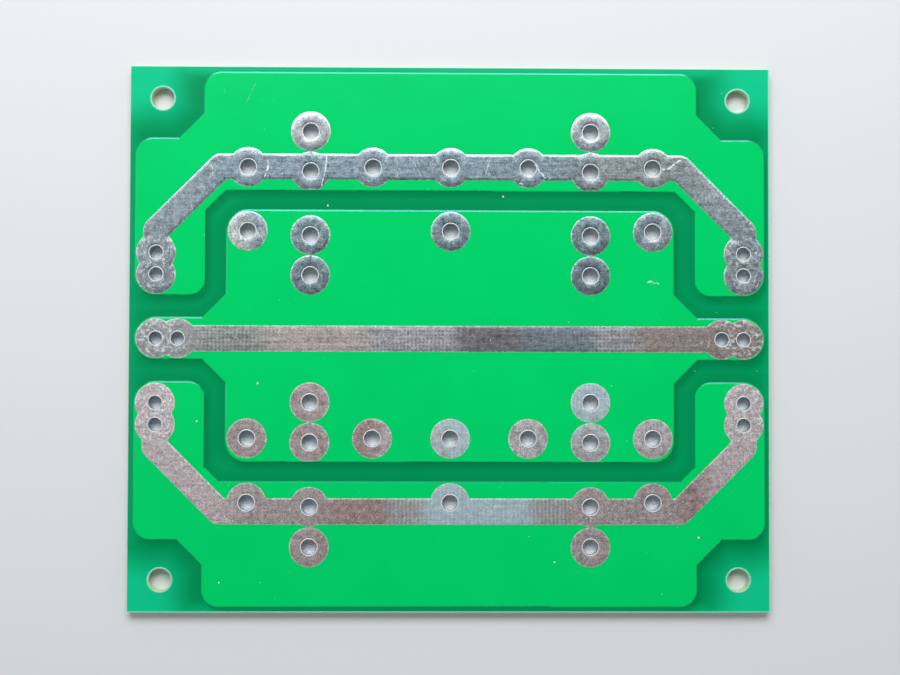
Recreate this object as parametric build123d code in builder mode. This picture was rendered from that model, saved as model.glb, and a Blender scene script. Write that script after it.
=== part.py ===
from build123d import *
import os
from math import atan2, degrees, hypot, isclose, sqrt

# A bare printed circuit board for two banks of capacitors, lying with its solder side up.
# X runs along the long side, Y towards the upper rail, and Z = 0 is the face that it lies on.

# Board blank
board_x = 100.0
board_y = 85.0
laminate_t = 1.5

# Layers on the blank
copper_t = 0.07
mask_t = 0.03
tin_t = 0.1
slope_w = 0.25  # run of the mask's slope from a pour's edge down to the blank

# Mounting holes, one in each corner
mount_inset = 5.0
mount_d = 3.5
mount_bare_d = 4.0  # the mask is pulled back to this size round the hole

# Drilled holes and their pads. They repeat by the dozen, so each is drawn with a few flat sides
lead_d = 2.6
terminal_d = 2.2
pad_d = 6.16
neck_w = 0.45  # tin between two pads that nearly touch
hole_sides = 10
pad_sides = 16

# Capacitor banks: each has large and small capacitors, and a large one fits either of two lead pitches
bank_share = 0.51  # height of a bank's middle, as a share of the way from the board's middle to a pour's edge
large_pitch_short = 10.0
large_pitch_long = 22.5
small_pitch = 10.0
small_shift = 0.635  # the small capacitors sit this much higher than the large ones
column_gap = 0.07  # between the outermost pads and the side of the middle pour
inner_column_share = 0.384  # place of the inner small capacitors, as a share of the outer ones'

# Wire terminals, two holes each, at both ends of every rail
terminal_reach = 3.1  # from a terminal's outermost hole to the end of its pour
terminal_y = 10.0
terminal_pitch = 3.4

# Tinned rails
rail_w = 4.0
rail_rise = 5.685  # from the middle of a bank to its rail
bend_run = 10.0  # width, and height, of a rail's slanting run

# Copper pours
edge_margin = 1.0  # bare border between the pours and the board's edge
mount_clear_x = 6.65  # from a mounting hole to the pour beside it
mount_clear_y = 6.4  # from a mounting hole to the pour below it
shoulder_chamfer = 4.0
upper_rail_margin = 1.55  # copper between a rail and its pour's inner edge
lower_rail_margin = 2.45
slant_margin = 1.05  # copper beside the slanting run of a rail
side_channel = 3.55  # bare blank between two pours
upper_channel = 3.4
lower_channel = 3.35
corner_r = 2.45

overrun = 1.0  # how far a cut runs past the face that it opens

# Places that follow from the sizes above
edge_x = board_x / 2 - edge_margin
edge_y = board_y / 2 - edge_margin
mount_x = board_x / 2 - mount_inset
mount_y = board_y / 2 - mount_inset
neck_x = mount_x - mount_clear_x
shoulder_y = mount_y - mount_clear_y
bank_y = bank_share * edge_y
rail_y = bank_y + rail_rise
upper_inner_y = rail_y - rail_w / 2 - upper_rail_margin
lower_inner_y = rail_y - rail_w / 2 - lower_rail_margin
middle_x = neck_x - side_channel
middle_top_y = upper_inner_y - upper_channel
middle_bottom_y = lower_inner_y - lower_channel
terminal_x = edge_x - terminal_reach
wing_end_y = terminal_y - terminal_reach
bend_x = terminal_x - bend_run
bend_y = rail_y - bend_run
small_outer_x = middle_x - column_gap - pad_d / 2
small_inner_x = inner_column_share * small_outer_x
large_x = (small_inner_x + small_outer_x) / 2

# The slanting side of an outer pour lies on the line x + y = slant
slant = terminal_x + bend_y - sqrt(2) * (rail_w / 2 + slant_margin)


def large_pair(x, centre_y, side):
    """The two holes for one lead of a large capacitor, the nearer pitch first."""
    return [(x, centre_y + side * pitch / 2) for pitch in (large_pitch_short, large_pitch_long)]


def small_row(xs, centre_y, side):
    """The holes for one lead of each small capacitor in a bank."""
    return [(x, centre_y + small_shift + side * small_pitch / 2) for x in xs]


# Terminal holes: outer rails have theirs one above the other, the middle rail side by side
outer_terminal_ys = (terminal_y, terminal_y + terminal_pitch)
middle_terminal_xs = (terminal_x, terminal_x - terminal_pitch)
upper_terminals = [(side * terminal_x, y) for side in (-1, 1) for y in outer_terminal_ys]
lower_terminals = [(x, -y) for x, y in upper_terminals]
middle_terminals = [(side * x, 0) for side in (-1, 1) for x in middle_terminal_xs]

# Lead holes of the outer rails
wide_row = (-small_outer_x, -small_inner_x, 0, small_inner_x, small_outer_x)
short_row = (-small_outer_x, 0, small_outer_x)
upper_pairs = [large_pair(x, bank_y, 1) for x in (-large_x, large_x)]
upper_singles = small_row(wide_row, bank_y, 1)
lower_pairs = [large_pair(x, -bank_y, -1) for x in (-large_x, large_x)]
lower_singles = small_row(short_row, -bank_y, -1)

# Lead holes of the pads that stand alone on the middle pour
standing_pads = {
    "upper_pair_left": large_pair(-large_x, bank_y, -1),
    "upper_pair_right": large_pair(large_x, bank_y, -1),
    "lower_pair_left": large_pair(-large_x, -bank_y, 1),
    "lower_pair_right": large_pair(large_x, -bank_y, 1),
}
for place, hole in zip(("left", "centre", "right"), small_row(short_row, bank_y, -1)):
    standing_pads["upper_pad_" + place] = [hole]
lower_places = ("outer_left", "inner_left", "centre", "inner_right", "outer_right")
for place, hole in zip(lower_places, small_row(wide_row, -bank_y, 1)):
    standing_pads["lower_pad_" + place] = [hole]

upper_leads = sum(upper_pairs, upper_singles)
lower_leads = sum(lower_pairs, lower_singles)
middle_leads = sum(standing_pads.values(), [])
all_leads = upper_leads + middle_leads + lower_leads
all_terminals = upper_terminals + middle_terminals + lower_terminals


def outer_pour(inner_y):
    """Outline of the upper pour: a broad field with a wing down each side to the wire terminals."""
    with BuildSketch() as area:
        with BuildLine():
            Polyline(
                (0, edge_y),
                (neck_x, edge_y),
                (neck_x, shoulder_y + shoulder_chamfer),
                (neck_x + shoulder_chamfer, shoulder_y),
                (edge_x, shoulder_y),
                (edge_x, wing_end_y),
                (neck_x, wing_end_y),
                (neck_x, slant - neck_x),
                (slant - inner_y, inner_y),
                (0, inner_y),
                close=True,
            )
        make_face()
        wing_tip = area.vertices().group_by(Axis.X)[-1].sort_by(Axis.Y)[0]
        fillet(wing_tip, radius=terminal_reach)
        shoulder_tip = area.vertices().group_by(Axis.X)[-1].sort_by(Axis.Y)[-1]
        neck_corners = area.vertices().filter_by(lambda v: isclose(v.X, neck_x)).sort_by(Axis.Y)
        fillet([shoulder_tip, neck_corners[0], neck_corners[-1]], radius=corner_r)
        mirror(about=Plane.YZ)
    return area.sketch


def middle_pour():
    """Outline of the middle pour: a broad field with a round-ended tongue to the terminals on each side."""
    chamfer_run = wing_end_y - terminal_reach
    with BuildSketch() as area:
        with BuildLine():
            Polyline(
                (0, middle_top_y),
                (middle_x, middle_top_y),
                (middle_x, wing_end_y),
                (middle_x + chamfer_run, terminal_reach),
                (terminal_x, terminal_reach),
                (terminal_x, -terminal_reach),
                (middle_x + chamfer_run, -terminal_reach),
                (middle_x, -wing_end_y),
                (middle_x, -middle_bottom_y),
                (0, -middle_bottom_y),
                close=True,
            )
        make_face()
        side_corners = area.vertices().filter_by_position(Axis.X, middle_x, middle_x).sort_by(Axis.Y)
        fillet([side_corners[0], side_corners[-1]], radius=terminal_reach)
        with Locations((terminal_x, 0)):
            Circle(terminal_reach)
        mirror(about=Plane.YZ)
    return area.sketch


def add_pads(holes):
    """Pads at the holes, with a neck of tin from each to the next where they stand in a pair."""
    with Locations(*holes):
        RegularPolygon(pad_d / 2, pad_sides)
    for (x, y), (_, next_y) in zip(holes, holes[1:]):
        with Locations((x, (y + next_y) / 2)):
            Rectangle(neck_w, abs(next_y - y))


def add_run(start, end):
    """One straight, round-ended run of a rail."""
    run_x = end[0] - start[0]
    run_y = end[1] - start[1]
    middle = ((start[0] + end[0]) / 2, (start[1] + end[1]) / 2)
    with Locations(Location(middle, degrees(atan2(run_y, run_x)))):
        SlotCenterToCenter(hypot(run_x, run_y), rail_w)


def drill_plated(leads, terminals):
    """Cut plated holes out of a sketch."""
    for holes, diameter in ((leads, lead_d), (terminals, terminal_d)):
        if holes:
            with Locations(*holes):
                RegularPolygon(diameter / 2, hole_sides, mode=Mode.SUBTRACT)


def outer_rail(pour, pairs, singles, terminals, side):
    """Bare area of the upper rail (side 1) or the lower rail (side -1), trimmed to its pour."""
    with BuildSketch() as area:
        add_run((-bend_x, side * rail_y), (bend_x, side * rail_y))
        for end in (-1, 1):
            add_run((end * bend_x, side * rail_y), (end * terminal_x, side * bend_y))
            add_run((end * terminal_x, side * bend_y), (end * terminal_x, side * terminal_y))
        for hole in singles + terminals:
            add_pads([hole])
        for pair in pairs:
            add_pads(pair)
        add(pour, mode=Mode.INTERSECT)
    return area.sketch


def middle_rail(pour):
    """Bare area of the straight middle rail, trimmed to its pour."""
    with BuildSketch() as area:
        add_run((-terminal_x, 0), (terminal_x, 0))
        for hole in middle_terminals:
            add_pads([hole])
        add(pour, mode=Mode.INTERSECT)
    return area.sketch


def standing_pad(pour, holes):
    """Bare area of one pad, or pair of pads, that stands alone on the middle pour."""
    with BuildSketch() as area:
        add_pads(holes)
        add(pour, mode=Mode.INTERSECT)
    return area.sketch


def mask_plateau(pour):
    """The mask's raised field over one pour, sloped down to the blank all round."""
    with BuildPart() as plateau:
        with BuildSketch(Plane.XY.offset(laminate_t)):
            add(pour)
            offset(amount=slope_w, kind=Kind.INTERSECTION)
        extrude(amount=copper_t + mask_t)
        top = plateau.faces().sort_by(Axis.Z)[-1]
        chamfer(top.outer_wire().edges(), length=slope_w, length2=copper_t, reference=top)
    return plateau.part


def tinned_copper(area, leads, terminals):
    """Bare copper with its tin, drilled, in one opening of the mask."""
    with BuildPart() as tin:
        with BuildSketch(Plane.XY.offset(laminate_t)):
            add(area)
            drill_plated(leads, terminals)
        extrude(amount=copper_t + tin_t)
    return tin.part


# Outlines of the copper pours, and of the areas on them that the mask leaves bare
upper_area = outer_pour(upper_inner_y)
lower_area = mirror(outer_pour(lower_inner_y), about=Plane.XZ)
middle_area = middle_pour()
upper_rail_area = outer_rail(upper_area, upper_pairs, upper_singles, upper_terminals, 1)
lower_rail_area = outer_rail(lower_area, lower_pairs, lower_singles, lower_terminals, -1)
middle_rail_area = middle_rail(middle_area)
pad_areas = {name: standing_pad(middle_area, holes) for name, holes in standing_pads.items()}

# Glass-epoxy blank, drilled for the leads, the wire terminals and the four screws
with BuildPart() as laminate:
    with BuildSketch():
        Rectangle(board_x, board_y)
        drill_plated(all_leads, all_terminals)
        with GridLocations(2 * mount_x, 2 * mount_y, 2, 2):
            Circle(mount_d / 2, mode=Mode.SUBTRACT)
    extrude(amount=laminate_t)

# Solder mask: one skin that lies on the blank, climbs each pour by a slope and is open at the bare areas
with BuildPart() as solder_mask:
    with BuildSketch(Plane.XY.offset(laminate_t)):
        Rectangle(board_x, board_y)
    extrude(amount=mask_t)
    for pour in (upper_area, middle_area, lower_area):
        add(mask_plateau(pour))
    with BuildSketch(Plane.XY.offset(laminate_t)):
        add([upper_rail_area, middle_rail_area, lower_rail_area, *pad_areas.values()])
        with GridLocations(2 * mount_x, 2 * mount_y, 2, 2):
            RegularPolygon(mount_bare_d / 2, hole_sides)
    extrude(amount=copper_t + mask_t + overrun, mode=Mode.SUBTRACT)

nodes = {
    "laminate": laminate.part,
    "solder_mask": solder_mask.part,
    "upper_rail_tin": tinned_copper(upper_rail_area, upper_leads, upper_terminals),
    "middle_rail_tin": tinned_copper(middle_rail_area, [], middle_terminals),
    "lower_rail_tin": tinned_copper(lower_rail_area, lower_leads, lower_terminals),
}
for name, area in pad_areas.items():
    nodes[name + "_tin"] = tinned_copper(area, standing_pads[name], [])

os.makedirs("parts", exist_ok=True)
for name, solid in nodes.items():
    solid.label = name
    export_step(solid, "parts/" + name + ".step")
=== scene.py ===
import random
from math import cos, pi, radians, sin

import bmesh
import bpy
from mathutils import Matrix, Vector, noise
from mathutils.bvhtree import BVHTree
from mathutils.kdtree import KDTree


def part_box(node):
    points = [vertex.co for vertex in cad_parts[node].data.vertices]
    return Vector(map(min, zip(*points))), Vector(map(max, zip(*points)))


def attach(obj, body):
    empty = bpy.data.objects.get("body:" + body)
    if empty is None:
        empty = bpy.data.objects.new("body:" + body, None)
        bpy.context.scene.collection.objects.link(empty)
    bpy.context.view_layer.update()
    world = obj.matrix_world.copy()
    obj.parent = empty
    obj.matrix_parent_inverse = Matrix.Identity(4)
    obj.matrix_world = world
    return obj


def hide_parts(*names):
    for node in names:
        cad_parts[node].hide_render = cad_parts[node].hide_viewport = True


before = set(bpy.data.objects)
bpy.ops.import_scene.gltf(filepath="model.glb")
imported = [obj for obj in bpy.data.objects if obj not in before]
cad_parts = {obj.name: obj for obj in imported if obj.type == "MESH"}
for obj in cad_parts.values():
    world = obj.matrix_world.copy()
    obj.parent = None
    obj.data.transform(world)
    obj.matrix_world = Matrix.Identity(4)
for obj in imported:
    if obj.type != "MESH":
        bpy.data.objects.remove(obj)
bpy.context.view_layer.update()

# Lengths are millimetres times this
MM = 0.001

# Heights of the layers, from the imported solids
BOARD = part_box("laminate")[1]
BLANK_TOP = BOARD.z
MASK_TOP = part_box("solder_mask")[1].z
TIN_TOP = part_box("middle_rail_tin")[1].z
ON_COPPER = MASK_TOP - 0.02 * MM  # the mask is higher than this only where copper lies below it

UNDER_MASK = 0.03 * MM  # mask of the component side, through which the tinned lands stand out

TIN_NODES = sorted(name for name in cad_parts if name.endswith("_tin"))


def srgb(code):
    """A hex colour as linear red, green, blue and alpha."""
    values = [int(code[i:i + 2], 16) / 255 for i in (0, 2, 4)]
    return [v / 12.92 if v <= 0.04045 else ((v + 0.055) / 1.055) ** 2.4 for v in values] + [1.0]


def soft_step(start, end, value):
    """Goes softly from zero at start to one at end, which may be the lower of the two."""
    t = min(max((value - start) / (end - start), 0.0), 1.0)
    return t * t * (3 - 2 * t)


# Materials

WAVE_LENGTH = 0.314  # of one band of a wave texture at scale 1


def new_material(name):
    """An empty material, its tree and the socket that its surface goes to."""
    made = bpy.data.materials.new(name)
    made.use_nodes = True
    made.node_tree.nodes.clear()
    output = made.node_tree.nodes.new("ShaderNodeOutputMaterial")
    return made, made.node_tree, output.inputs["Surface"]


def node(tree, kind, settings=None, links=None):
    """Adds a node, sets its properties and sockets, and links its inputs. Sockets go by name or number."""
    new = tree.nodes.new("ShaderNode" + kind)
    for key, value in (settings or {}).items():
        if isinstance(key, str) and hasattr(new, key):
            setattr(new, key, value)
        else:
            new.inputs[key].default_value = value
    for key, source in (links or {}).items():
        tree.links.new(source, new.inputs[key])
    return new.outputs


def per_mm(size):
    """Scale of a pattern whose grains are this many millimetres across."""
    return 1 / (size * MM)


def solder_mask_ink():
    """Green epoxy ink, printed and baked: glossy, bright over copper and dark on the blank, with painted
    shadow and light.
    """
    made, tree, surface = new_material("solder_mask_ink")
    place = node(tree, "TexCoord")["Object"]
    # The shade attribute holds copper below, the painted shadow in the lee of a pour, and the painted paling
    # of the blank
    shade = node(tree, "Attribute", {"attribute_name": "shade"})["Color"]
    part = node(tree, "SeparateColor", {}, {"Color": shade})
    # Painted light: the ink on the blank pales away from copper and towards the edges of the board
    blank = node(tree, "Mix", {"data_type": "RGBA", 6: srgb("008d51"), 7: srgb("10c388")}, {0: part["Blue"]})
    # Painted shadow: darker ink in the lee of a pour
    painted_shadow = node(tree, "Mix", {"data_type": "RGBA", 7: srgb("00753f")}, {0: part["Green"], 6: blank[2]})
    ink = node(tree, "Mix", {"data_type": "RGBA", 7: srgb("01cc66")}, {0: part["Red"], 6: painted_shadow[2]})
    cloud = node(tree, "TexNoise", {"Scale": per_mm(9), "Detail": 3.0}, {"Vector": place})["Fac"]
    tone = node(tree, "MapRange", {"To Min": 0.94, "To Max": 1.06}, {"Value": cloud})[0]
    colour = node(tree, "HueSaturation", {}, {"Color": ink[2], "Value": tone})["Color"]
    # Squeegee streaks of the print run along the board
    along = node(tree, "Mapping", {"Scale": (per_mm(6), per_mm(0.25), per_mm(1))}, {"Vector": place})[0]
    streaks = node(tree, "TexNoise", {"Scale": 1.0, "Detail": 4.0}, {"Vector": along})["Fac"]
    gloss = node(tree, "MapRange", {"To Min": 0.14, "To Max": 0.24}, {"Value": streaks})[0]
    peel = node(tree, "TexNoise", {"Scale": per_mm(0.7), "Detail": 3.0}, {"Vector": place})["Fac"]
    hatch = node(tree, "Bump", {"Strength": 0.15, "Distance": 0.004 * MM}, {"Height": streaks})[0]
    bump = node(tree, "Bump", {"Strength": 0.25, "Distance": 0.01 * MM}, {"Height": peel, "Normal": hatch})[0]
    ink_shader = node(
        tree, "BsdfPrincipled", {"IOR": 1.5, "Specular IOR Level": 0.8, "Specular Tint": srgb("98ccff")},
        {"Base Color": colour, "Roughness": gloss, "Normal": bump})
    tree.links.new(ink_shader[0], surface)
    return made


def levelled_tin():
    """Tin-lead levelled by hot air: bright or matt by place, with the weave of the blank showing through."""
    made, tree, surface = new_material("levelled_tin")
    place = node(tree, "TexCoord")["Object"]
    # The tint attribute holds the local colour, painted reflections included, and in its alpha how matt the
    # tin is
    tint = node(tree, "Attribute", {"attribute_name": "tint"})
    # The wear attribute holds how blotchy it is, how much the weave shows, how streaky and how ribbed it is
    scars = node(tree, "Attribute", {"attribute_name": "wear"})
    wear = node(tree, "SeparateColor", {}, {"Color": scars["Color"]})
    blotch = node(
        tree, "TexNoise", {"Scale": per_mm(0.8), "Detail": 6.0, "Roughness": 0.75, "Distortion": 0.4},
        {"Vector": place})["Fac"]
    patches = node(
        tree, "MapRange", {"From Min": 0.32, "From Max": 0.68, "To Min": -0.5, "To Max": 0.8},
        {"Value": blotch})[0]
    tone = node(tree, "Math", {"operation": "MULTIPLY_ADD", 2: 1.0}, {0: patches, 1: wear["Red"]})[0]
    dots = node(
        tree, "TexVoronoi", {"voronoi_dimensions": "2D", "Scale": per_mm(0.6), "Randomness": 0.12},
        {"Vector": place})["Distance"]
    weave = node(
        tree, "MapRange", {"From Min": 0.1, "From Max": 0.55, "To Min": -0.6, "To Max": 0.45},
        {"Value": dots})[0]
    along = node(tree, "Mapping", {"Scale": (per_mm(5), per_mm(0.3), per_mm(1))}, {"Vector": place})[0]
    lines = node(tree, "TexNoise", {"Scale": 1.0, "Detail": 3.0}, {"Vector": along})["Fac"]
    rows = node(
        tree, "MapRange", {"From Min": 0.35, "From Max": 0.62, "To Min": 0.1, "To Max": 1.5},
        {"Value": lines})[0]
    shown = node(tree, "Math", {"operation": "MULTIPLY"}, {0: rows, 1: wear["Green"]})[0]
    tone = node(tree, "Math", {"operation": "MULTIPLY_ADD"}, {0: weave, 1: shown, 2: tone})[0]
    streaks = node(
        tree, "MapRange", {"From Min": 0.3, "From Max": 0.7, "To Min": -0.4, "To Max": 0.4},
        {"Value": lines})[0]
    tone = node(tree, "Math", {"operation": "MULTIPLY_ADD"}, {0: streaks, 1: wear["Blue"], 2: tone})[0]
    bands = node(
        tree, "TexWave", {"Scale": WAVE_LENGTH * per_mm(0.62), "Distortion": 1.5, "Detail": 2.0},
        {"Vector": place})["Fac"]
    ribs = node(tree, "MapRange", {"To Min": -0.5, "To Max": 0.3}, {"Value": bands})[0]
    tone = node(tree, "Math", {"operation": "MULTIPLY_ADD"}, {0: ribs, 1: scars["Alpha"], 2: tone})[0]
    grain = node(tree, "TexNoise", {"Scale": per_mm(0.16), "Detail": 3.0}, {"Vector": place})["Fac"]
    sparks = node(
        tree, "MapRange", {"From Min": 0.36, "From Max": 0.72, "To Min": -0.5, "To Max": 1.0},
        {"Value": grain})[0]
    tone = node(tree, "Math", {"operation": "MULTIPLY_ADD"}, {0: sparks, 1: wear["Red"], 2: tone})[0]
    colour = node(tree, "HueSaturation", {}, {"Color": tint["Color"], "Value": tone})["Color"]
    fine = node(tree, "Bump", {"Strength": 0.3, "Distance": 0.012 * MM}, {"Height": grain})[0]
    bump = node(
        tree, "Bump", {"Strength": 0.12, "Distance": 0.02 * MM}, {"Height": blotch, "Normal": fine})[0]
    matt = node(tree, "MapRange", {"To Min": 0.2, "To Max": 0.75}, {"Value": tint["Alpha"]})[0]
    gloss = node(tree, "Math", {"operation": "MULTIPLY_ADD", 1: 0.06}, {0: patches, 2: matt})[0]
    metal = node(
        tree, "BsdfPrincipled", {"Metallic": 1.0}, {"Base Color": colour, "Roughness": gloss, "Normal": bump})
    tree.links.new(metal[0], surface)
    return made


def plated_tin():
    """Tinned plating in the holes: smooth and bright where it rolls over the rim."""
    made, tree, surface = new_material("plated_tin")
    place = node(tree, "TexCoord")["Object"]
    grain = node(tree, "TexNoise", {"Scale": per_mm(0.3), "Detail": 3.0}, {"Vector": place})["Fac"]
    colour = node(tree, "Mix", {"data_type": "RGBA", 6: srgb("b4c4cc"), 7: srgb("dfe8ec")}, {0: grain})[2]
    bump = node(tree, "Bump", {"Strength": 0.2, "Distance": 0.01 * MM}, {"Height": grain})[0]
    metal = node(
        tree, "BsdfPrincipled", {"Metallic": 1.0, "Roughness": 0.4}, {"Base Color": colour, "Normal": bump})
    tree.links.new(metal[0], surface)
    return made


def glass_epoxy():
    """Glass-epoxy laminate, sawn at its edges. Pale green, with the ends of the glass bundles in layers."""
    made, tree, surface = new_material("glass_epoxy")
    place = node(tree, "TexCoord")["Object"]
    layers = node(tree, "Mapping", {"Scale": (per_mm(1.2), per_mm(1.2), per_mm(0.12))}, {"Vector": place})[0]
    bundles = node(tree, "TexNoise", {"Scale": 1.0, "Detail": 4.0}, {"Vector": layers})["Fac"]
    colour = node(tree, "Mix", {"data_type": "RGBA", 6: srgb("8fae78"), 7: srgb("d3e2bd")}, {0: bundles})[2]
    bump = node(tree, "Bump", {"Strength": 0.5, "Distance": 0.03 * MM}, {"Height": bundles})[0]
    epoxy = node(
        tree, "BsdfPrincipled", {"Roughness": 0.62, "IOR": 1.55}, {"Base Color": colour, "Normal": bump})
    tree.links.new(epoxy[0], surface)
    return made


def scraped_tin():
    """Pale, frosty tin of seams, flecks and fresh scratches."""
    made, tree, surface = new_material("scraped_tin")
    place = node(tree, "TexCoord")["Object"]
    grain = node(tree, "TexNoise", {"Scale": per_mm(0.25), "Detail": 4.0}, {"Vector": place})["Fac"]
    colour = node(tree, "Mix", {"data_type": "RGBA", 6: srgb("b9c3c7"), 7: srgb("f4f7f8")}, {0: grain})[2]
    frost = node(tree, "BsdfPrincipled", {"Metallic": 0.35, "Roughness": 0.5}, {"Base Color": colour})
    tree.links.new(frost[0], surface)
    return made


def resin_rim():
    """Crushed resin at a drilled or sawn edge, pale under the ink."""
    made, tree, surface = new_material("resin_rim")
    place = node(tree, "TexCoord")["Object"]
    grain = node(tree, "TexNoise", {"Scale": per_mm(0.4), "Detail": 4.0}, {"Vector": place})["Fac"]
    colour = node(tree, "Mix", {"data_type": "RGBA", 6: srgb("3fbf9a"), 7: srgb("a6e6d6")}, {0: grain})[2]
    resin = node(tree, "BsdfPrincipled", {"Roughness": 0.5, "IOR": 1.5}, {"Base Color": colour})
    tree.links.new(resin[0], surface)
    return made


def lint():
    """Dust and lint that lies on the ink."""
    made, tree, surface = new_material("lint")
    place = node(tree, "TexCoord")["Object"]
    grain = node(tree, "TexNoise", {"Scale": per_mm(0.2), "Detail": 3.0}, {"Vector": place})["Fac"]
    colour = node(tree, "Mix", {"data_type": "RGBA", 6: srgb("9fe0bf"), 7: srgb("f2fbf6")}, {0: grain})[2]
    fibre = node(tree, "BsdfPrincipled", {"Roughness": 0.8}, {"Base Color": colour})
    tree.links.new(fibre[0], surface)
    return made


mask_ink = solder_mask_ink()
tin_metal = levelled_tin()
plating = plated_tin()
blank_epoxy = glass_epoxy()
pale_tin = scraped_tin()
rim_resin = resin_rim()
dust = lint()


# Meshes

def node_mesh(name):
    """The merged mesh of a solid, to shape into the piece that stands for it."""
    shape = bmesh.new()
    shape.from_mesh(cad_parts[name].data)
    bmesh.ops.remove_doubles(shape, verts=shape.verts, dist=0.0001 * MM)
    return shape


def keep_faces(shape, wanted):
    """Deletes every face but the wanted ones."""
    bmesh.ops.delete(shape, geom=[f for f in shape.faces if not wanted(f)], context="FACES")


def cut_squares(shape, step):
    """Cuts flat faces into squares of this size."""
    for axis in (0, 1):
        places = [v.co[axis] for v in shape.verts]
        normal = Vector((axis == 0, axis == 1, 0))
        for line in range(int(min(places) / step) - 1, int(max(places) / step) + 1):
            cut = bmesh.ops.bisect_plane(
                shape, geom=shape.verts[:] + shape.edges[:] + shape.faces[:], dist=0.0005 * MM,
                plane_co=normal * (line + 0.5) * step, plane_no=normal)
            for part in cut["geom_cut"]:
                if isinstance(part, bmesh.types.BMEdge):
                    part.seam = True
        if axis == 0:
            # Within each strip the old triangles go, and only the cuts stay
            bmesh.ops.dissolve_limit(shape, angle_limit=radians(0.5), edges=shape.edges, delimit={"SEAM"})


def finish_piece(name, shape, slot, *materials):
    """Makes an object of a finished mesh, which rides with the board."""
    mesh = bpy.data.meshes.new(name)
    shape.to_mesh(mesh)
    shape.free()
    piece = bpy.data.objects.new(name, mesh)
    bpy.context.scene.collection.objects.link(piece)
    for finish in materials:
        mesh.materials.append(finish)
    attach(piece, "root")
    return piece


def outlines(shape):
    """The closed outlines of a sheet, each as a list of vertices in order."""
    # A dict keeps the order of the edges, which a set would change from run to run
    left = dict.fromkeys(e for e in shape.edges if e.is_boundary)
    loops = []
    while left:
        edge = left.popitem()[0]
        loop = list(edge.verts)
        while loop[-1] != loop[0]:
            edge = next(e for e in loop[-1].link_edges if e in left)
            del left[edge]
            loop.append(edge.other_vert(loop[-1]))
        loops.append(loop[:-1])
    return loops


def lathe(shape, centre, profile):
    """Turns a profile of radii and heights about an upright axis."""
    verts = [shape.verts.new((centre.x + r, centre.y, z)) for r, z in profile]
    edges = [shape.edges.new(pair) for pair in zip(verts, verts[1:])]
    bmesh.ops.spin(
        shape, geom=verts + edges, cent=(centre.x, centre.y, 0), axis=(0, 0, 1), angle=2 * pi, steps=48,
        use_merge=True)


def point_tree(points):
    """A tree that finds the nearest of these points."""
    tree = KDTree(len(points))
    for i, point in enumerate(points):
        tree.insert(point, i)
    tree.balance()
    return tree


def points_along(loops, step):
    """Points along closed outlines, about this far apart."""
    points = []
    for loop in loops:
        for a, b in zip(loop, loop[1:] + loop[:1]):
            count = max(1, int((b.co - a.co).length / step))
            points += [a.co.lerp(b.co, i / count) for i in range(count)]
    return points


# Tinned areas

LEAD_R = 1.3 * MM  # radius of a lead hole
WIDEST_R = 1.05 * LEAD_R  # no plated hole is wider than this
SMALL_R = 0.95 * LEAD_R  # the holes of the terminals are smaller than this
PAD_R = 3.08 * MM  # radius of a pad
SMALL_LAND_R = 0.52 * PAD_R  # radius of the land below a small hole
TIN_STEP = 0.2 * MM  # size of the squares into which the tin is cut
PAD_CROWN = 0.9 * MM  # the tin swells over this width from the outline of a pad
RAIL_CROWN = 0.3 * MM  # and over this width from the edge of a rail
RIM_STEP = 0.006 * MM  # its outline stands this much above the mask
GRAIN_ROOM = 0.014 * MM  # room for the unevenness of its top
BEAD_ROOM = 0.008 * MM  # room for the seams on it

# Finishes of the tin: its colour, then how matt, how blotchy, how woven, how streaky and how ribbed it is
# The pink, brown, taupe and umber colours, mostly towards the lower edge, are a painted reflection of warm
# surroundings beyond that edge, and the blue-grey ones a painted reflection of cool light from above
TIN_FINISHES_AND_REFLECTIONS = {
    "bright": ("c0c8cc", 0.16, 0.5, 0.0, 0.0, 0.0),
    "pearly": ("afb5b6", 0.45, 0.8, 0.0, 0.0, 0.0),
    "frosted": ("e6eced", 0.55, 0.6, 0.0, 0.0, 0.0),
    "silvery": ("b0bdc4", 0.3, 0.6, 0.06, 0.4, 0.0),
    "leaden": ("98a4ab", 0.3, 0.6, 0.06, 0.4, 0.0),
    "steely": ("8a9aa4", 0.28, 0.65, 0.06, 0.5, 0.0),
    "ashen": ("969fa1", 0.3, 0.6, 0.06, 0.5, 0.0),
    "charcoal": ("9ab1ba", 0.22, 0.8, 0.05, 0.0, 0.0),
    "dull": ("999c9d", 0.6, 0.6, 0.12, 0.3, 0.0),
    "woven": ("969b98", 0.5, 0.5, 0.55, 0.6, 0.0),
    "speckled": ("a5a5aa", 0.5, 0.6, 0.5, 0.4, 0.0),
    "slate": ("868388", 0.45, 0.6, 0.1, 0.6, 0.0),
    "inky": ("8a949c", 0.45, 0.5, 0.25, 0.6, 0.0),
    "bluish": ("b2c4ca", 0.8, 0.3, 0.03, 0.25, 0.1),
    "ribbed": ("a8a8aa", 0.8, 0.35, 0.05, 0.2, 0.4),
    "taupe": ("a49d9b", 0.7, 0.6, 0.15, 0.5, 0.0),
    "rosy": ("b9b0b2", 0.8, 0.6, 0.15, 0.15, 0.0),
    "pewter": ("b3b0b2", 0.8, 0.6, 0.05, 0.15, 0.0),
    "pinkish": ("a59b9b", 0.8, 0.65, 0.1, 0.15, 0.0),
    "brownish": ("9d8a89", 0.8, 0.65, 0.08, 0.15, 0.0),
    "umber": ("918885", 0.7, 0.6, 0.1, 0.3, 0.0),
}

# Beyond this along the board, and within this across it, the tin of a terminal is mottled with frost
TERMINAL_X = 43
TERMINAL_Y = 16.2
UPPER_Y = 5  # the upper terminals lie beyond this
UPPER_FROST = 0.35  # share of frost on the upper terminals
FROST = 0.6  # and on the others

# Between these places across the board the upper rail turns as bright as the pads above it
BRIGHT_Y = (29.2, 29.6)
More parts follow.
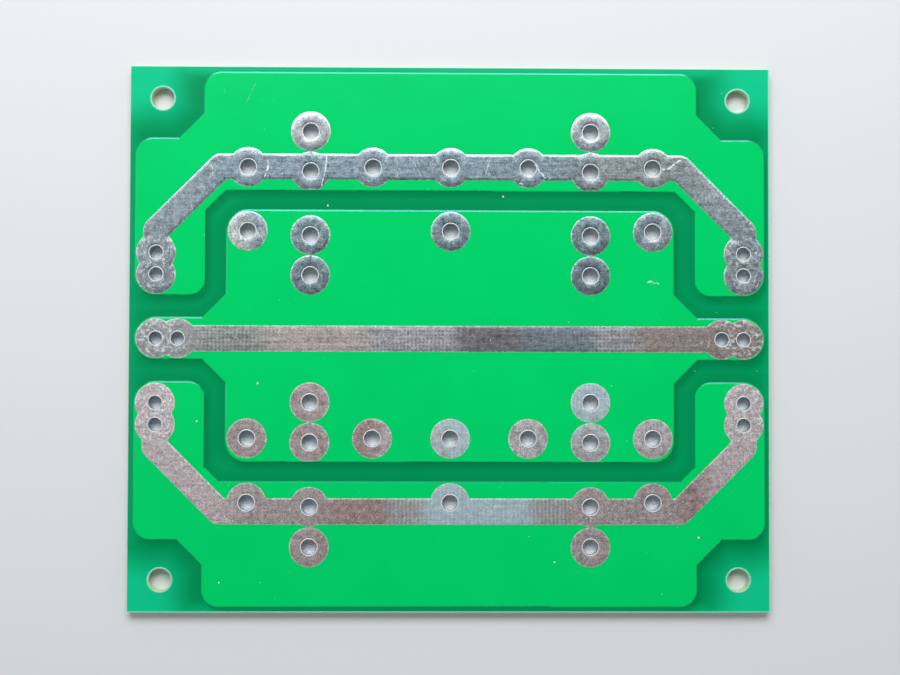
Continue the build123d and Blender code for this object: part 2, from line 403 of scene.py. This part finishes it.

# Finish and painted reflection along each rail, from left to right, in millimetres
RAIL_FINISHES_AND_REFLECTIONS = {
    "upper_rail_tin": [
        (-50, "leaden"), (-42, "leaden"), (-34, "steely"), (16, "steely"), (24, "ashen"), (36, "ashen"),
        (42, "silvery")],
    "middle_rail_tin": [
        (-46, "dull"), (-41, "dull"), (-37, "woven"), (-31, "woven"), (-27, "taupe"), (-15, "taupe"),
        (-11, "speckled"), (-1, "speckled"), (3, "slate"), (9, "slate"), (13, "inky"), (20, "inky"),
        (24, "speckled"), (27, "speckled"), (31, "umber"), (41, "umber")],
    "lower_rail_tin": [
        (-46, "rosy"), (-38, "rosy"), (-30, "pinkish"), (-22, "pinkish"), (-16, "brownish"),
        (-11, "brownish"), (-8.5, "ribbed"), (-6.5, "ribbed"), (-2, "bluish"), (11, "bluish"),
        (15, "ribbed"), (17, "ribbed"), (20, "pinkish"), (34, "pinkish"), (38, "brownish"), (42, "rosy")],
}

# Finishes and painted reflections of each pad that stands alone: most of it, the patches on it, and the way
# they lie
PAD_FINISHES_AND_REFLECTIONS = {
    "upper_pair_left_tin": ("charcoal", "ashen", (0, 0)),
    "upper_pair_right_tin": ("charcoal", "ashen", (0, 0)),
    "upper_pad_left_tin": ("pearly", "steely", (1, 0.2)),
    "upper_pad_centre_tin": ("charcoal", "ashen", (0, 0)),
    "upper_pad_right_tin": ("silvery", "charcoal", (-0.7, 0.7)),
    "lower_pair_left_tin": ("pinkish", "brownish", (0, 0)),
    "lower_pair_right_tin": ("bluish", "pinkish", (0, -0.8)),
    "lower_pad_outer_left_tin": ("pinkish", "brownish", (0, 0)),
    "lower_pad_inner_left_tin": ("brownish", "pewter", (1, 0)),
    "lower_pad_centre_tin": ("bluish", "pewter", (-0.8, 0)),
    "lower_pad_inner_right_tin": ("pewter", "dull", (0, 0)),
    "lower_pad_outer_right_tin": ("pewter", "pinkish", (0, -0.5)),
}
PAD_CENTRES = {name: sum(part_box(name), Vector()) / 2 for name in PAD_FINISHES_AND_REFLECTIONS}


def finish_and_reflection_values(finish):
    """A finish, with any painted reflection in its colour, as one vector: linear red, green, blue, then its
    shares.
    """
    colour, *shares = TIN_FINISHES_AND_REFLECTIONS[finish]
    return Vector(srgb(colour)[:3] + shares)


def finish_and_reflection_at(name, place):
    """Values of the finish and painted reflection at a place of a tinned area. Along a rail they fade
    unevenly into each other.
    """
    x, y = place.x / MM, place.y / MM
    if name in PAD_FINISHES_AND_REFLECTIONS:
        most, patches, way = PAD_FINISHES_AND_REFLECTIONS[name]
        lean = 0.25 * (place - PAD_CENTRES[name]).xy.dot(way) / MM
        share = 0.7 * soft_step(-0.1, 0.4, lean + noise.noise(Vector((x / 1.3, y / 1.3, 0))))
        return finish_and_reflection_values(most).lerp(finish_and_reflection_values(patches), share)
    x += 1.4 * noise.noise(Vector((x / 5, y / 1.6, 0)))
    stops = RAIL_FINISHES_AND_REFLECTIONS[name]
    values = finish_and_reflection_values(stops[0][1])
    for (x0, _), (x1, finish) in zip(stops, stops[1:]):
        values = values.lerp(finish_and_reflection_values(finish), soft_step(x0, x1, x))
    if name == "upper_rail_tin":
        values = values.lerp(finish_and_reflection_values("bright"), soft_step(*BRIGHT_Y, y))
    if abs(x) > TERMINAL_X and abs(y) < TERMINAL_Y:
        most = UPPER_FROST if y > UPPER_Y else FROST
        frost = most * soft_step(0.05, 0.4, noise.noise(Vector((x / 0.5, y / 0.5, 0))))
        values = values.lerp(finish_and_reflection_values("frosted"), frost)
    return values


def find_holes(shape):
    """Centre, radius and clear radius of each drilled hole in a tinned area."""
    holes = []
    for loop in outlines(shape):
        centre = sum((v.co for v in loop), Vector()) / len(loop)
        radius = max((v.co - centre).length for v in loop)
        if radius < WIDEST_R:
            holes.append((centre, radius, radius * cos(pi / len(loop))))
    return holes


def round_arc(shape, centre, radius, cuts):
    """Turns the flat sides of an outline that lie on a circle into a smooth arc."""
    def on_circle(vert):
        return abs((vert.co - centre).length - radius) < 0.004 * MM
    chords = [e for e in shape.edges if e.is_boundary and on_circle(e.verts[0]) and on_circle(e.verts[1])]
    old = set(shape.verts)
    bmesh.ops.subdivide_edges(shape, edges=chords, cuts=cuts)
    for vert in set(shape.verts) - old:
        arm = vert.co - centre
        if vert.is_boundary and abs(arm.length - radius) < 0.1 * MM:
            vert.co = centre + arm.normalized() * radius


def tinned_area(name):
    """One tinned rail or pad, swelling inside its opening in the mask. Returns it and its holes."""
    shape = node_mesh(name)
    keep_faces(shape, lambda f: f.normal.z > 0.9)
    holes = find_holes(shape)
    for centre, radius, _ in holes:
        round_arc(shape, centre, radius, 3)
        round_arc(shape, centre, PAD_R, 5)
    cut_squares(shape, TIN_STEP)
    rims = [
        loop for loop in outlines(shape)
        if not any(all((v.co - c).length < 1.05 * r for v in loop) for c, r, _ in holes)]
    rim = point_tree(points_along(rims, 0.04 * MM))
    tint = shape.verts.layers.float_color.new("tint")
    wear = shape.verts.layers.float_color.new("wear")
    crown = TIN_TOP - MASK_TOP - RIM_STEP - GRAIN_ROOM - BEAD_ROOM
    for vert in shape.verts:
        flat = vert.co.copy()
        to_rim = rim.find(flat)[2]
        reach = to_rim
        width = PAD_CROWN if name == "middle_rail_tin" else RAIL_CROWN
        for centre, radius, _ in holes:
            # Towards a hole the tin sinks, and round it a rail swells as a pad does
            off = (flat - centre).length
            reach = min(reach, 1.4 * (off - radius) + 0.12 * MM)
            width += (PAD_CROWN - width) * soft_step(PAD_R + 0.4 * MM, PAD_R - 0.4 * MM, off)
        swell = 1 - (1 - min(max(reach, 0) / width, 1)) ** 2
        # The tin of the upper half of the board is thicker
        height = crown * (0.45 + 0.55 * soft_step(-10 * MM, 12 * MM, flat.y))
        wave = GRAIN_ROOM * (0.5 + 0.5 * noise.noise(flat / (0.9 * MM)))
        vert.co.z = MASK_TOP + RIM_STEP + (height + wave) * swell
        uneven = 0.45 + 0.5 * noise.noise(flat / (0.4 * MM))
        edge = uneven * soft_step(0.2 * MM, 0, to_rim)
        values = finish_and_reflection_at(name, flat).lerp(finish_and_reflection_values("frosted"), edge)
        vert[tint] = values[:4]
        vert[wear] = values[4:]
    skirt = bmesh.ops.extrude_edge_only(shape, edges=[e for e in shape.edges if e.is_boundary])["geom"]
    for part in skirt:
        if isinstance(part, bmesh.types.BMVert):
            part.co.z = BLANK_TOP
    foot = [part for part in skirt if isinstance(part, bmesh.types.BMEdge) and part.is_boundary]
    bmesh.ops.triangle_fill(shape, use_beauty=True, edges=foot)
    bmesh.ops.recalc_face_normals(shape, faces=shape.faces)
    for face in shape.faces:
        face.smooth = face.normal.z > 0.5
    piece = finish_piece(name.replace("_tin", "_tinning"), shape, "tin", tin_metal)
    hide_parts(name)
    return piece, holes


tinned = [tinned_area(name) for name in TIN_NODES]
all_holes = sum((holes for _, holes in tinned), [])


# Plated holes: a bright lip on the tin, the plated wall, and the land on the component side

def plated_holes():
    """Every plated hole, turned from one profile."""
    shape = bmesh.new()
    for centre, radius, clear in all_holes:
        bore = clear - 0.005 * MM
        lip = MASK_TOP + RIM_STEP + 0.024 * MM
        land = PAD_R if radius > SMALL_R else SMALL_LAND_R
        profile = [
            (bore + 0.18 * MM, lip - 0.03 * MM),
            (bore + 0.13 * MM, lip + 0.006 * MM),
            (bore + 0.07 * MM, lip + 0.016 * MM),
            (bore + 0.02 * MM, lip - 0.008 * MM),
            (bore, lip - 0.06 * MM),
            (bore, 0.05 * MM),
            (bore + 0.05 * MM, 0),
            (land - 0.15 * MM, 0),
            (land, UNDER_MASK),
        ]
        lathe(shape, centre, profile)
    bmesh.ops.recalc_face_normals(shape, faces=shape.faces)
    for face in shape.faces:
        face.smooth = True
        face.material_index = int(face.calc_center_median().z > MASK_TOP)
    finish_piece("plated_holes", shape, "tin", plating, pale_tin)


plated_holes()


# Blank, with the mask of the component side on its lower face

def blank():
    """The glass-epoxy blank. Its lower face is printed with plain mask."""
    shape = node_mesh("laminate")
    for vert in shape.verts:
        vert.co.z = max(vert.co.z, UNDER_MASK)
    layer = shape.verts.layers.float_color.new("shade")
    # The ink below has no painted shadow and a middle share of the painted light of the blank
    for vert in shape.verts:
        vert[layer] = (0, 0, 0.5, 1)
    for face in shape.faces:
        face.material_index = int(face.normal.z < -0.9)
    piece = finish_piece("blank", shape, "laminate", blank_epoxy, mask_ink)
    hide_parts("laminate")


blank()


# Solder mask

MASK_STEP = 0.5 * MM  # size of the squares into which the mask is cut

# Painted light: on the blank the ink pales between these distances from copper, and is painted darker near it
PALE_REACH = (0.5 * MM, 7.5 * MM)

# And it is painted paler between these from the edge of the board, by a share that differs from edge to edge
EDGE_REACH = (2.2 * MM, 0.3 * MM)
# The most painted light lies along the upper edge, the side from which the light comes
UPPER_PALE = 0.7
LOWER_PALE = 0.42
SIDE_PALE = 0.22
SIDE_WIDTH = 2 * MM

# The painted shadow beside a pour is found in steps towards the light: the ink is darkened where copper lies
# that way
SHADOW_STEP = 0.2 * MM
SHADOW_STEPS = 8
PAINTED_SHADOW_DEPTH = 0.8
TO_LIGHT = Vector((-0.5, 0.87, 0))


def relief(objects):
    """The upper surface of these objects, to look up heights."""
    shape = bmesh.new()
    for item in objects:
        shape.from_mesh(item.data)
    surface = BVHTree.FromBMesh(shape)
    shape.free()
    return surface


def height_at(surface, place):
    """Height of the surface at a place, or of the blank where there is none."""
    hit = surface.ray_cast(Vector((place.x, place.y, 10 * MM)), Vector((0, 0, -1)))[0]
    return hit.z if hit else BLANK_TOP


def mask_skin():
    """The mask's own form, with painted shadow and painted light in its ink worked out from where the copper
    lies.
    """
    shape = node_mesh("solder_mask")
    keep_faces(shape, lambda f: f.normal.z > -0.9)
    cut_squares(shape, MASK_STEP)
    surface = relief([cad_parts[name] for name in ["solder_mask", *TIN_NODES]])
    slopes = [f for f in shape.faces if 0.5 < f.normal.z < 0.99]
    copper_edge = point_tree([v.co for f in slopes for v in f.verts if v.co.z > ON_COPPER])
    layer = shape.verts.layers.float_color.new("shade")
    for vert in shape.verts:
        copper = float(vert.co.z > ON_COPPER)
        painted_shadow = 0.0
        painted_paling = 0.0
        if not copper:
            # Painted light: the ink pales away from copper and near the edges
            painted_paling = soft_step(*PALE_REACH, copper_edge.find(vert.co)[2])
            to_side = BOARD.x - abs(vert.co.x)
            to_edge = min(to_side, BOARD.y - abs(vert.co.y))
            share = UPPER_PALE if vert.co.y > 0 else LOWER_PALE
            if to_side < SIDE_WIDTH:
                share = SIDE_PALE
            painted_paling = max(painted_paling, share * soft_step(*EDGE_REACH, to_edge))
            # Painted shadow: darker ink where copper lies towards the light
            for step in range(SHADOW_STEPS):
                if height_at(surface, vert.co + TO_LIGHT * SHADOW_STEP * (step + 1)) > ON_COPPER:
                    painted_shadow = PAINTED_SHADOW_DEPTH * (1 - step / SHADOW_STEPS)
                    break
        vert[layer] = (copper, painted_shadow, painted_paling, 1)
    piece = finish_piece("solder_mask_skin", shape, "mask", mask_ink)
    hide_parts("solder_mask")
    return piece


mask_piece = mask_skin()


# Rims: crushed resin round the mounting holes and along two edges of the board

MOUNT = Vector((45, 37.5, 0)) * MM
MOUNT_R = 1.75 * MM


def mount_rims():
    """A pale ring round each mounting hole, where the drill crushed the resin."""
    shape = bmesh.new()
    low = BLANK_TOP - 0.02 * MM
    high = BLANK_TOP + 0.036 * MM  # just above the mask
    profile = [
        (MOUNT_R + 0.28 * MM, low), (MOUNT_R + 0.25 * MM, high), (MOUNT_R + 0.05 * MM, high), (MOUNT_R, low)]
    for x in (-1, 1):
        for y in (-1, 1):
            lathe(shape, Vector((x * MOUNT.x, y * MOUNT.y, 0)), profile)
    bmesh.ops.recalc_face_normals(shape, faces=shape.faces)
    for face in shape.faces:
        face.smooth = True
    finish_piece("mount_rims", shape, "laminate", rim_resin)


def edge_lines():
    """A thin pale line along the right and the lower edge, where the saw crushed the ink."""
    shape = bmesh.new()
    width = 0.16 * MM
    depth = 0.02 * MM
    top = BLANK_TOP + 0.034 * MM  # just above the mask
    right = (BOARD.x - width / 2, 0, top - depth / 2), (width, 2 * BOARD.y, depth)
    lower = (-width / 2, width / 2 - BOARD.y, top - depth / 2), (2 * BOARD.x - width, width, depth)
    for place, size in (right, lower):
        bmesh.ops.create_cube(shape, size=1, matrix=Matrix.Translation(place) @ Matrix.Diagonal((*size, 1)))
    finish_piece("edge_lines", shape, "laminate", rim_resin)


mount_rims()
edge_lines()


# Seams, flecks, scratches and dust

BEAD_STEP = 0.12 * MM  # length of the pieces of a line
BEAD_RISE = 0.006 * MM  # its ridge stands this much above the surface

# How many random marks are tried. Those on the tin stay only where they lie clear of its edges
TERMINAL_FLECKS = 16  # round each small hole
TIN_FLECKS = 1500
DUST_SPECKS = 60


def bead(shape, surface, path, width):
    """A thin uneven line along a path in millimetres, which follows the surface below it."""
    corners = [Vector((x, y, 0)) * MM for x, y in path]
    points = []
    for a, b in zip(corners, corners[1:]):
        count = max(1, round((b - a).length / BEAD_STEP))
        points += [a.lerp(b, i / count) for i in range(count)]
    points.append(corners[-1])
    way = (corners[-1] - corners[0]).normalized()
    across = Vector((-way.y, way.x, 0))
    for point in points:
        point += across * 0.12 * MM * noise.noise(point / (0.5 * MM))
    spine = [shape.verts.new(point) for point in points]
    edges = [shape.edges.new(pair) for pair in zip(spine, spine[1:])]
    for side in (-0.5, 0.5):
        grown = bmesh.ops.extrude_edge_only(shape, edges=edges)["geom"]
        for vert in grown:
            if isinstance(vert, bmesh.types.BMVert):
                uneven = 1.2 + noise.noise(vert.co / (0.35 * MM))
                vert.co += across * side * width * MM * uneven
                vert.co.z = height_at(surface, vert.co) - 0.004 * MM
    for vert in spine:
        broken = min(1, 0.6 + 1.8 * noise.noise(vert.co / (0.5 * MM)))
        vert.co.z = height_at(surface, vert.co) + BEAD_RISE * broken


def fleck(shape, surface, place, size, thick=0.16):
    """A small flat grain that lies on the surface."""
    centre = Vector((*place, 0)) * MM
    centre.z = height_at(surface, centre)
    lie = Matrix.Translation(centre) @ Matrix.Diagonal((1, 1, thick, 1))
    bmesh.ops.create_icosphere(shape, subdivisions=2, radius=size * MM, matrix=lie)


def finish_marks(name, shape, slot, material):
    """Turns the marks' faces up, and makes a piece of them."""
    for face in shape.faces:
        if face.normal.z < 0 and len(face.verts) == 4:
            face.normal_flip()
        face.smooth = True
    finish_piece(name, shape, slot, material)


# Seams and scratches in the tin, each with its width
TIN_SEAMS = [
    (0.32, [(-28.8, 28.6), (-28.5, 27.4), (-28.7, 26.3), (-29.1, 25.1)]),
    (0.3, [(-19.4, 28.6), (-19.5, 27.4), (-19.6, 26.3), (-20.0, 24.7), (-20.2, 23.8)]),
    (0.12, [(-37.5, 27.4), (-37.1, 26.3), (-37.2, 25.4)]),
    (0.12, [(-8.4, 27.6), (-8.2, 26.6)]),
    (0.12, [(-8.3, 26.2), (-8.4, 25.3)]),
    (0.09, [(-6.8, 28.7), (-5.6, 27.2), (-4.5, 25.1)]),
    (0.12, [(-10.1, 28.5), (-10.3, 27.4)]),
    (0.1, [(6.3, 28.5), (5.7, 26.8), (5.2, 25.0)]),
    (0.34, [(13.3, 27.5), (13.8, 26.3), (14.9, 25.2)]),
    (0.2, [(10.7, 24.4), (11.3, 24.2)]),
    (0.4, [(33.2, 26.6), (34.3, 26.8), (35.4, 27.8), (36.6, 28.4)]),
    (0.12, [(-45.8, 19.3), (-45.0, 18.8), (-44.1, 18.5)]),
    (0.14, [(46.6, 17.8), (47.4, 17.2)]),
    (0.14, [(36.8, -0.5), (37.5, 0.0)]),
    (0.12, [(38.2, -0.9), (39.2, -0.5)]),
    (0.12, [(39.0, -0.7), (39.6, -0.3)]),
    (0.12, [(-40.9, -20.9), (-40.0, -21.8), (-39.4, -22.5)]),
    (0.12, [(-5.7, -28.4), (-5.1, -28.0)]),
    (0.16, [(22.3, -23.6), (23.2, -23.2)]),
    (0.12, [(22.8, -23.7), (23.5, -23.4)]),
    (0.16, [(10.5, -18.1), (10.9, -17.8)]),
]

# Scratches and lint on the mask, each with its width
MASK_LINES = [
    (0.42, [(30.7, 8.95), (31.5, 9.1)]),
    (0.14, [(31.5, 9.1), (31.9, 8.75), (32.3, 8.9), (32.7, 8.65)]),
    (0.03, [(-35.5, 39.0), (-35.2, 38.3)]),
    (0.025, [(-30.5, 40.0), (-31.2, 38.6), (-32.2, 36.5)]),
]
MASK_SPECKS = [
    (-19.2, 20.8), (8.2, 22.3), (16.3, -34.7), (-35.8, -37.9), (38.8, -30.9), (-30.0, -7.0), (-39.4, -12.9)]


def on_terminal(centre, place):
    """Whether a place in millimetres lies on the tin round this hole, clear of its edge and of every hole."""
    point = Vector((*place, centre.z / MM)) * MM
    clear = all((point - hole).length > radius + 0.4 * MM for hole, radius, _ in all_holes)
    return clear and (point - centre).length < PAD_R - 0.25 * MM


def terminal_flecks(shape, tops, chance):
    """Short flecks of frosty tin round the small holes of the terminals."""
    for centre, radius, _ in all_holes:
        if radius > SMALL_R:
            continue
        for _ in range(TERMINAL_FLECKS):
            turn = chance.uniform(0, 2 * pi)
            reach = chance.uniform(1.7, 2.8)
            x = centre.x / MM + reach * cos(turn)
            y = centre.y / MM + reach * sin(turn)
            turn += chance.uniform(0.8, 2.2)
            length = chance.uniform(0.15, 0.55)
            end = (x + length * cos(turn), y + length * sin(turn))
            width = chance.uniform(0.08, 0.24)
            if on_terminal(centre, (x, y)) and on_terminal(centre, end):
                bead(shape, tops, [(x, y), end], width)


def tin_seams(chance):
    """The seams and scratches that the photograph shows in the tin, and random flecks on it."""
    tops = relief([piece for piece, _ in tinned])
    shape = bmesh.new()
    for width, path in TIN_SEAMS:
        bead(shape, tops, path, width)
    terminal_flecks(shape, tops, chance)
    for _ in range(TIN_FLECKS):
        place = (chance.uniform(-48, 48), chance.uniform(-35, 35))
        size = chance.uniform(0.04, 0.09)
        around = [(place[0] + 0.15 * x, place[1] + 0.15 * y) for x in (-1, 1) for y in (-1, 1)]
        if all(height_at(tops, Vector((*spot, 0)) * MM) > MASK_TOP for spot in around):
            fleck(shape, tops, place, size, 0.07)
    finish_marks("tin_seams", shape, "tin", pale_tin)


def mask_marks(chance):
    """The scratches, lint and specks that the photograph shows on the mask, and random dust."""
    skin = relief([mask_piece])
    shape = bmesh.new()
    for width, path in MASK_LINES:
        bead(shape, skin, path, width)
    for place in MASK_SPECKS:
        fleck(shape, skin, place, chance.uniform(0.1, 0.16))
    for _ in range(DUST_SPECKS):
        fleck(shape, skin, (chance.uniform(-49, 49), chance.uniform(-41, 41)), chance.uniform(0.02, 0.06))
    finish_marks("mask_marks", shape, "mask", dust)


draws = random.Random(7)
tin_seams(draws)
mask_marks(draws)


# Floor, light and camera

def floor():
    """A plain pale floor."""
    made, tree, surface = new_material("pale_floor")
    shader = node(tree, "BsdfPrincipled", {"Base Color": srgb("d6d9dc"), "Roughness": 0.7})
    tree.links.new(shader[0], surface)
    shape = bmesh.new()
    low = Matrix.Translation((0, 0, -0.02 * MM))
    bmesh.ops.create_grid(shape, x_segments=1, y_segments=1, size=3, matrix=low)
    mesh = bpy.data.meshes.new("floor")
    shape.to_mesh(mesh)
    shape.free()
    mesh.materials.append(made)
    ground = bpy.data.objects.new("floor", mesh)
    bpy.context.scene.collection.objects.link(ground)


def softbox(name, place, size, power):
    """A rectangular lamp that faces the board."""
    light = bpy.data.lights.new(name, "AREA")
    light.shape = "RECTANGLE"
    light.size, light.size_y = size
    light.energy = power
    lamp = bpy.data.objects.new(name, light)
    lamp.visible_camera = False
    lamp.matrix_world = Matrix.Translation(place) @ Vector(place).to_track_quat("Z", "Y").to_matrix().to_4x4()
    bpy.context.scene.collection.objects.link(lamp)


def studio():
    """Soft light all round, dimmer and cooler overhead, and softboxes beyond the upper and the left edge."""
    world = bpy.data.worlds.new("studio")
    bpy.context.scene.world = world
    world.use_nodes = True
    tree = world.node_tree
    tree.nodes.clear()
    way = node(tree, "TexCoord")["Generated"]
    rise = node(tree, "SeparateXYZ", {}, {0: way})["Z"]
    level = node(
        tree, "MapRange", {"From Min": 0.35, "From Max": 0.85, "To Min": 1.0, "To Max": 0.05},
        {"Value": rise})[0]
    top = node(tree, "MapRange", {"From Min": 0.8, "From Max": 0.9}, {"Value": rise})[0]
    sky = node(tree, "Mix", {"data_type": "RGBA", 6: srgb("e7e7e7"), 7: srgb("90d2e7")}, {0: top})[2]
    light = node(tree, "Background", {}, {"Color": sky, "Strength": level})
    tree.links.new(light[0], tree.nodes.new("ShaderNodeOutputWorld").inputs["Surface"])
    softbox("north_softbox", (-0.013, 0.28, 0.32), (0.4, 0.21), 2.0)
    softbox("west_softbox", (-0.5, 0.05, 0.7), (0.3, 0.4), 0.5)


def photo_camera():
    """Looks almost straight down, as in the photograph."""
    lens = bpy.data.cameras.new("camera")
    lens.sensor_width = 36.0
    lens.lens = 48.0
    lens.clip_start = 0.01
    camera = bpy.data.objects.new("camera", lens)
    camera.location = Vector((-2.4, -3.6, 188.8)) * MM
    camera.rotation_euler = (radians(1.17), radians(-0.72), radians(0.15))
    bpy.context.scene.collection.objects.link(camera)
    bpy.context.scene.camera = camera


floor()
studio()
photo_camera()
bpy.context.scene.view_settings.view_transform = "Standard"
